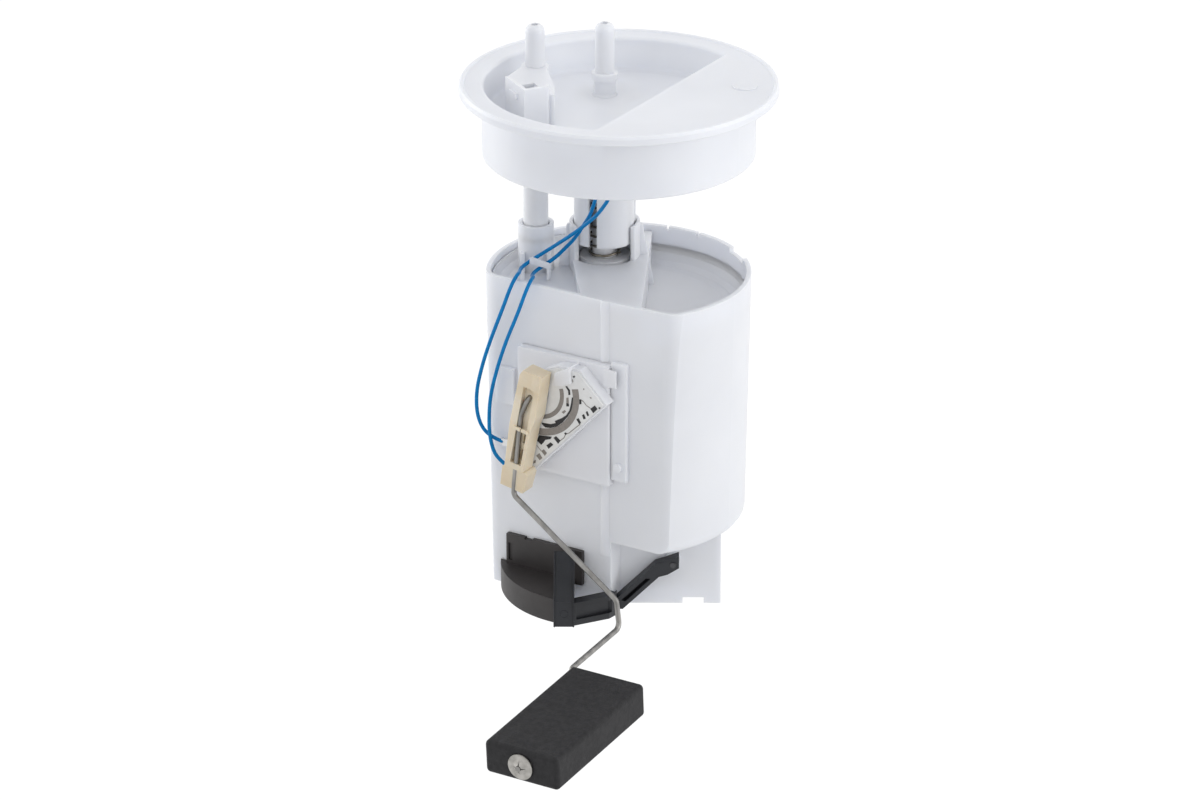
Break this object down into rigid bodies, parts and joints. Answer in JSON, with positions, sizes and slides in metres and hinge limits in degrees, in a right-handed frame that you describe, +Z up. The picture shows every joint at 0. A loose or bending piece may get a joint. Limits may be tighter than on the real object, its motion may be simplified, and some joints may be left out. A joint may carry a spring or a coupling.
{
  "type": "fuel tank sending unit",
  "caption": "In-tank fuel sending unit: round flange with pipe stubs and connector, sprung guide tubes, D-shaped swirl pot with pump, and a wire arm with a block float.",
  "frame": {"origin": "centre of the flange rim's underside, the face that seats on the tank, on the axis of the collar", "axes": "+Z up out of the tank along the collar's axis, -Y the way the flat side with the float arm faces, +X to the right seen from that side"},
  "size_m": [0.1352, 0.2326, 0.2505],
  "materials": {
    "white_acetal": "satin, slightly translucent natural white",
    "cream_plastic": "satin cream",
    "black_plastic": "satin black",
    "float_foam": "matte, fine-celled",
    "black_rubber": "matte",
    "wire_steel": "drawn wire",
    "spring_steel": "drawn wire",
    "pump_steel": "plated",
    "tinned_metal": "tinned",
    "card_ceramic": "white ceramic with printed tracks",
    "filter_mesh": "fine woven mesh",
    "blue_insulation": "satin"
  },
  "bodies": {
    "flange": {"flange_cover": "white_acetal", "connector_pins": "tinned_metal", "guide_tube": "white_acetal", "return_pipe": "white_acetal", "guide_spring": "spring_steel", "guide_rod": "white_acetal", "guide_ring": "spring_steel", "lead_one_upper": "blue_insulation", "lead_two_upper": "blue_insulation"},
    "pot": {"reservoir_pot": "white_acetal", "reservoir_lid": "white_acetal", "socket_seal": "black_rubber", "lead_clip": "white_acetal", "sender_bracket": "white_acetal", "resistor_card": "card_ceramic", "lead_terminals": "tinned_metal", "pump_body": "pump_steel", "pump_cap": "black_plastic", "pump_inlet": "black_plastic", "pump_sleeve": "black_rubber", "pump_strainer": "filter_mesh", "outlet_pipe": "white_acetal", "foot_valve": "black_rubber", "strainer_foot": "black_plastic", "foot_clip": "black_plastic", "foot_pin": "spring_steel", "lead_one_lower": "blue_insulation", "lead_two_lower": "blue_insulation"},
    "arm": {"wiper_carrier": "cream_plastic", "wiper_contacts": "tinned_metal", "float_wire": "wire_steel", "stop_nut": "spring_steel"},
    "float": {"float_block": "float_foam"}
  },
  "joints": [
    {"name": "pot_slide", "type": "slide", "parent": "flange", "child": "pot", "axis": [0, 0, 1], "range_m": [0, 0.022], "stiffness_N_per_m": 600, "springref_m": -0.03, "deforming": ["guide_spring", "lead_one_upper", "lead_two_upper"]},
    {"name": "arm_hinge", "type": "hinge", "parent": "pot", "child": "arm", "pos_m": [-0.0132, -0.045, -0.1208], "axis": [0, -1, 0], "range_deg": [0, 75]},
    {"name": "float_spin", "type": "hinge", "parent": "arm", "child": "float", "pos_m": [0.0527, -0.1303, -0.2205], "axis": [0, -0.9977, -0.068], "continuous": true}
  ]
}
